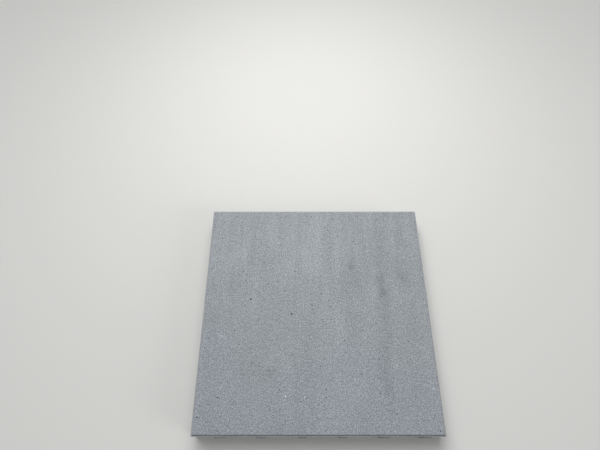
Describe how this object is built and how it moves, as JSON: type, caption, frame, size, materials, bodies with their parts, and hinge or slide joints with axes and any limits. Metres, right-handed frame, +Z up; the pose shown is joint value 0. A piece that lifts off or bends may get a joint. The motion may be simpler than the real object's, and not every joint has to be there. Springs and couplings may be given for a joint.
{
  "type": "concrete paving slab",
  "caption": "Large square concrete paving slab with a bevelled top edge and moulded spacer nibs on its sides, for yards and paths.",
  "frame": {"origin": "centre of the underside, on the ground that the slab lies on", "axes": "+Z up through the worn face, X and Y square to the four sides, -Y towards the near side in the picture"},
  "size_m": [0.808, 0.808, 0.08],
  "materials": {
    "concrete": "fine blasted concrete, cool light grey, with smooth cement skin on the bevel and sides"
  },
  "bodies": {
    "root": {"paving_slab": "concrete"}
  },
  "joints": []
}
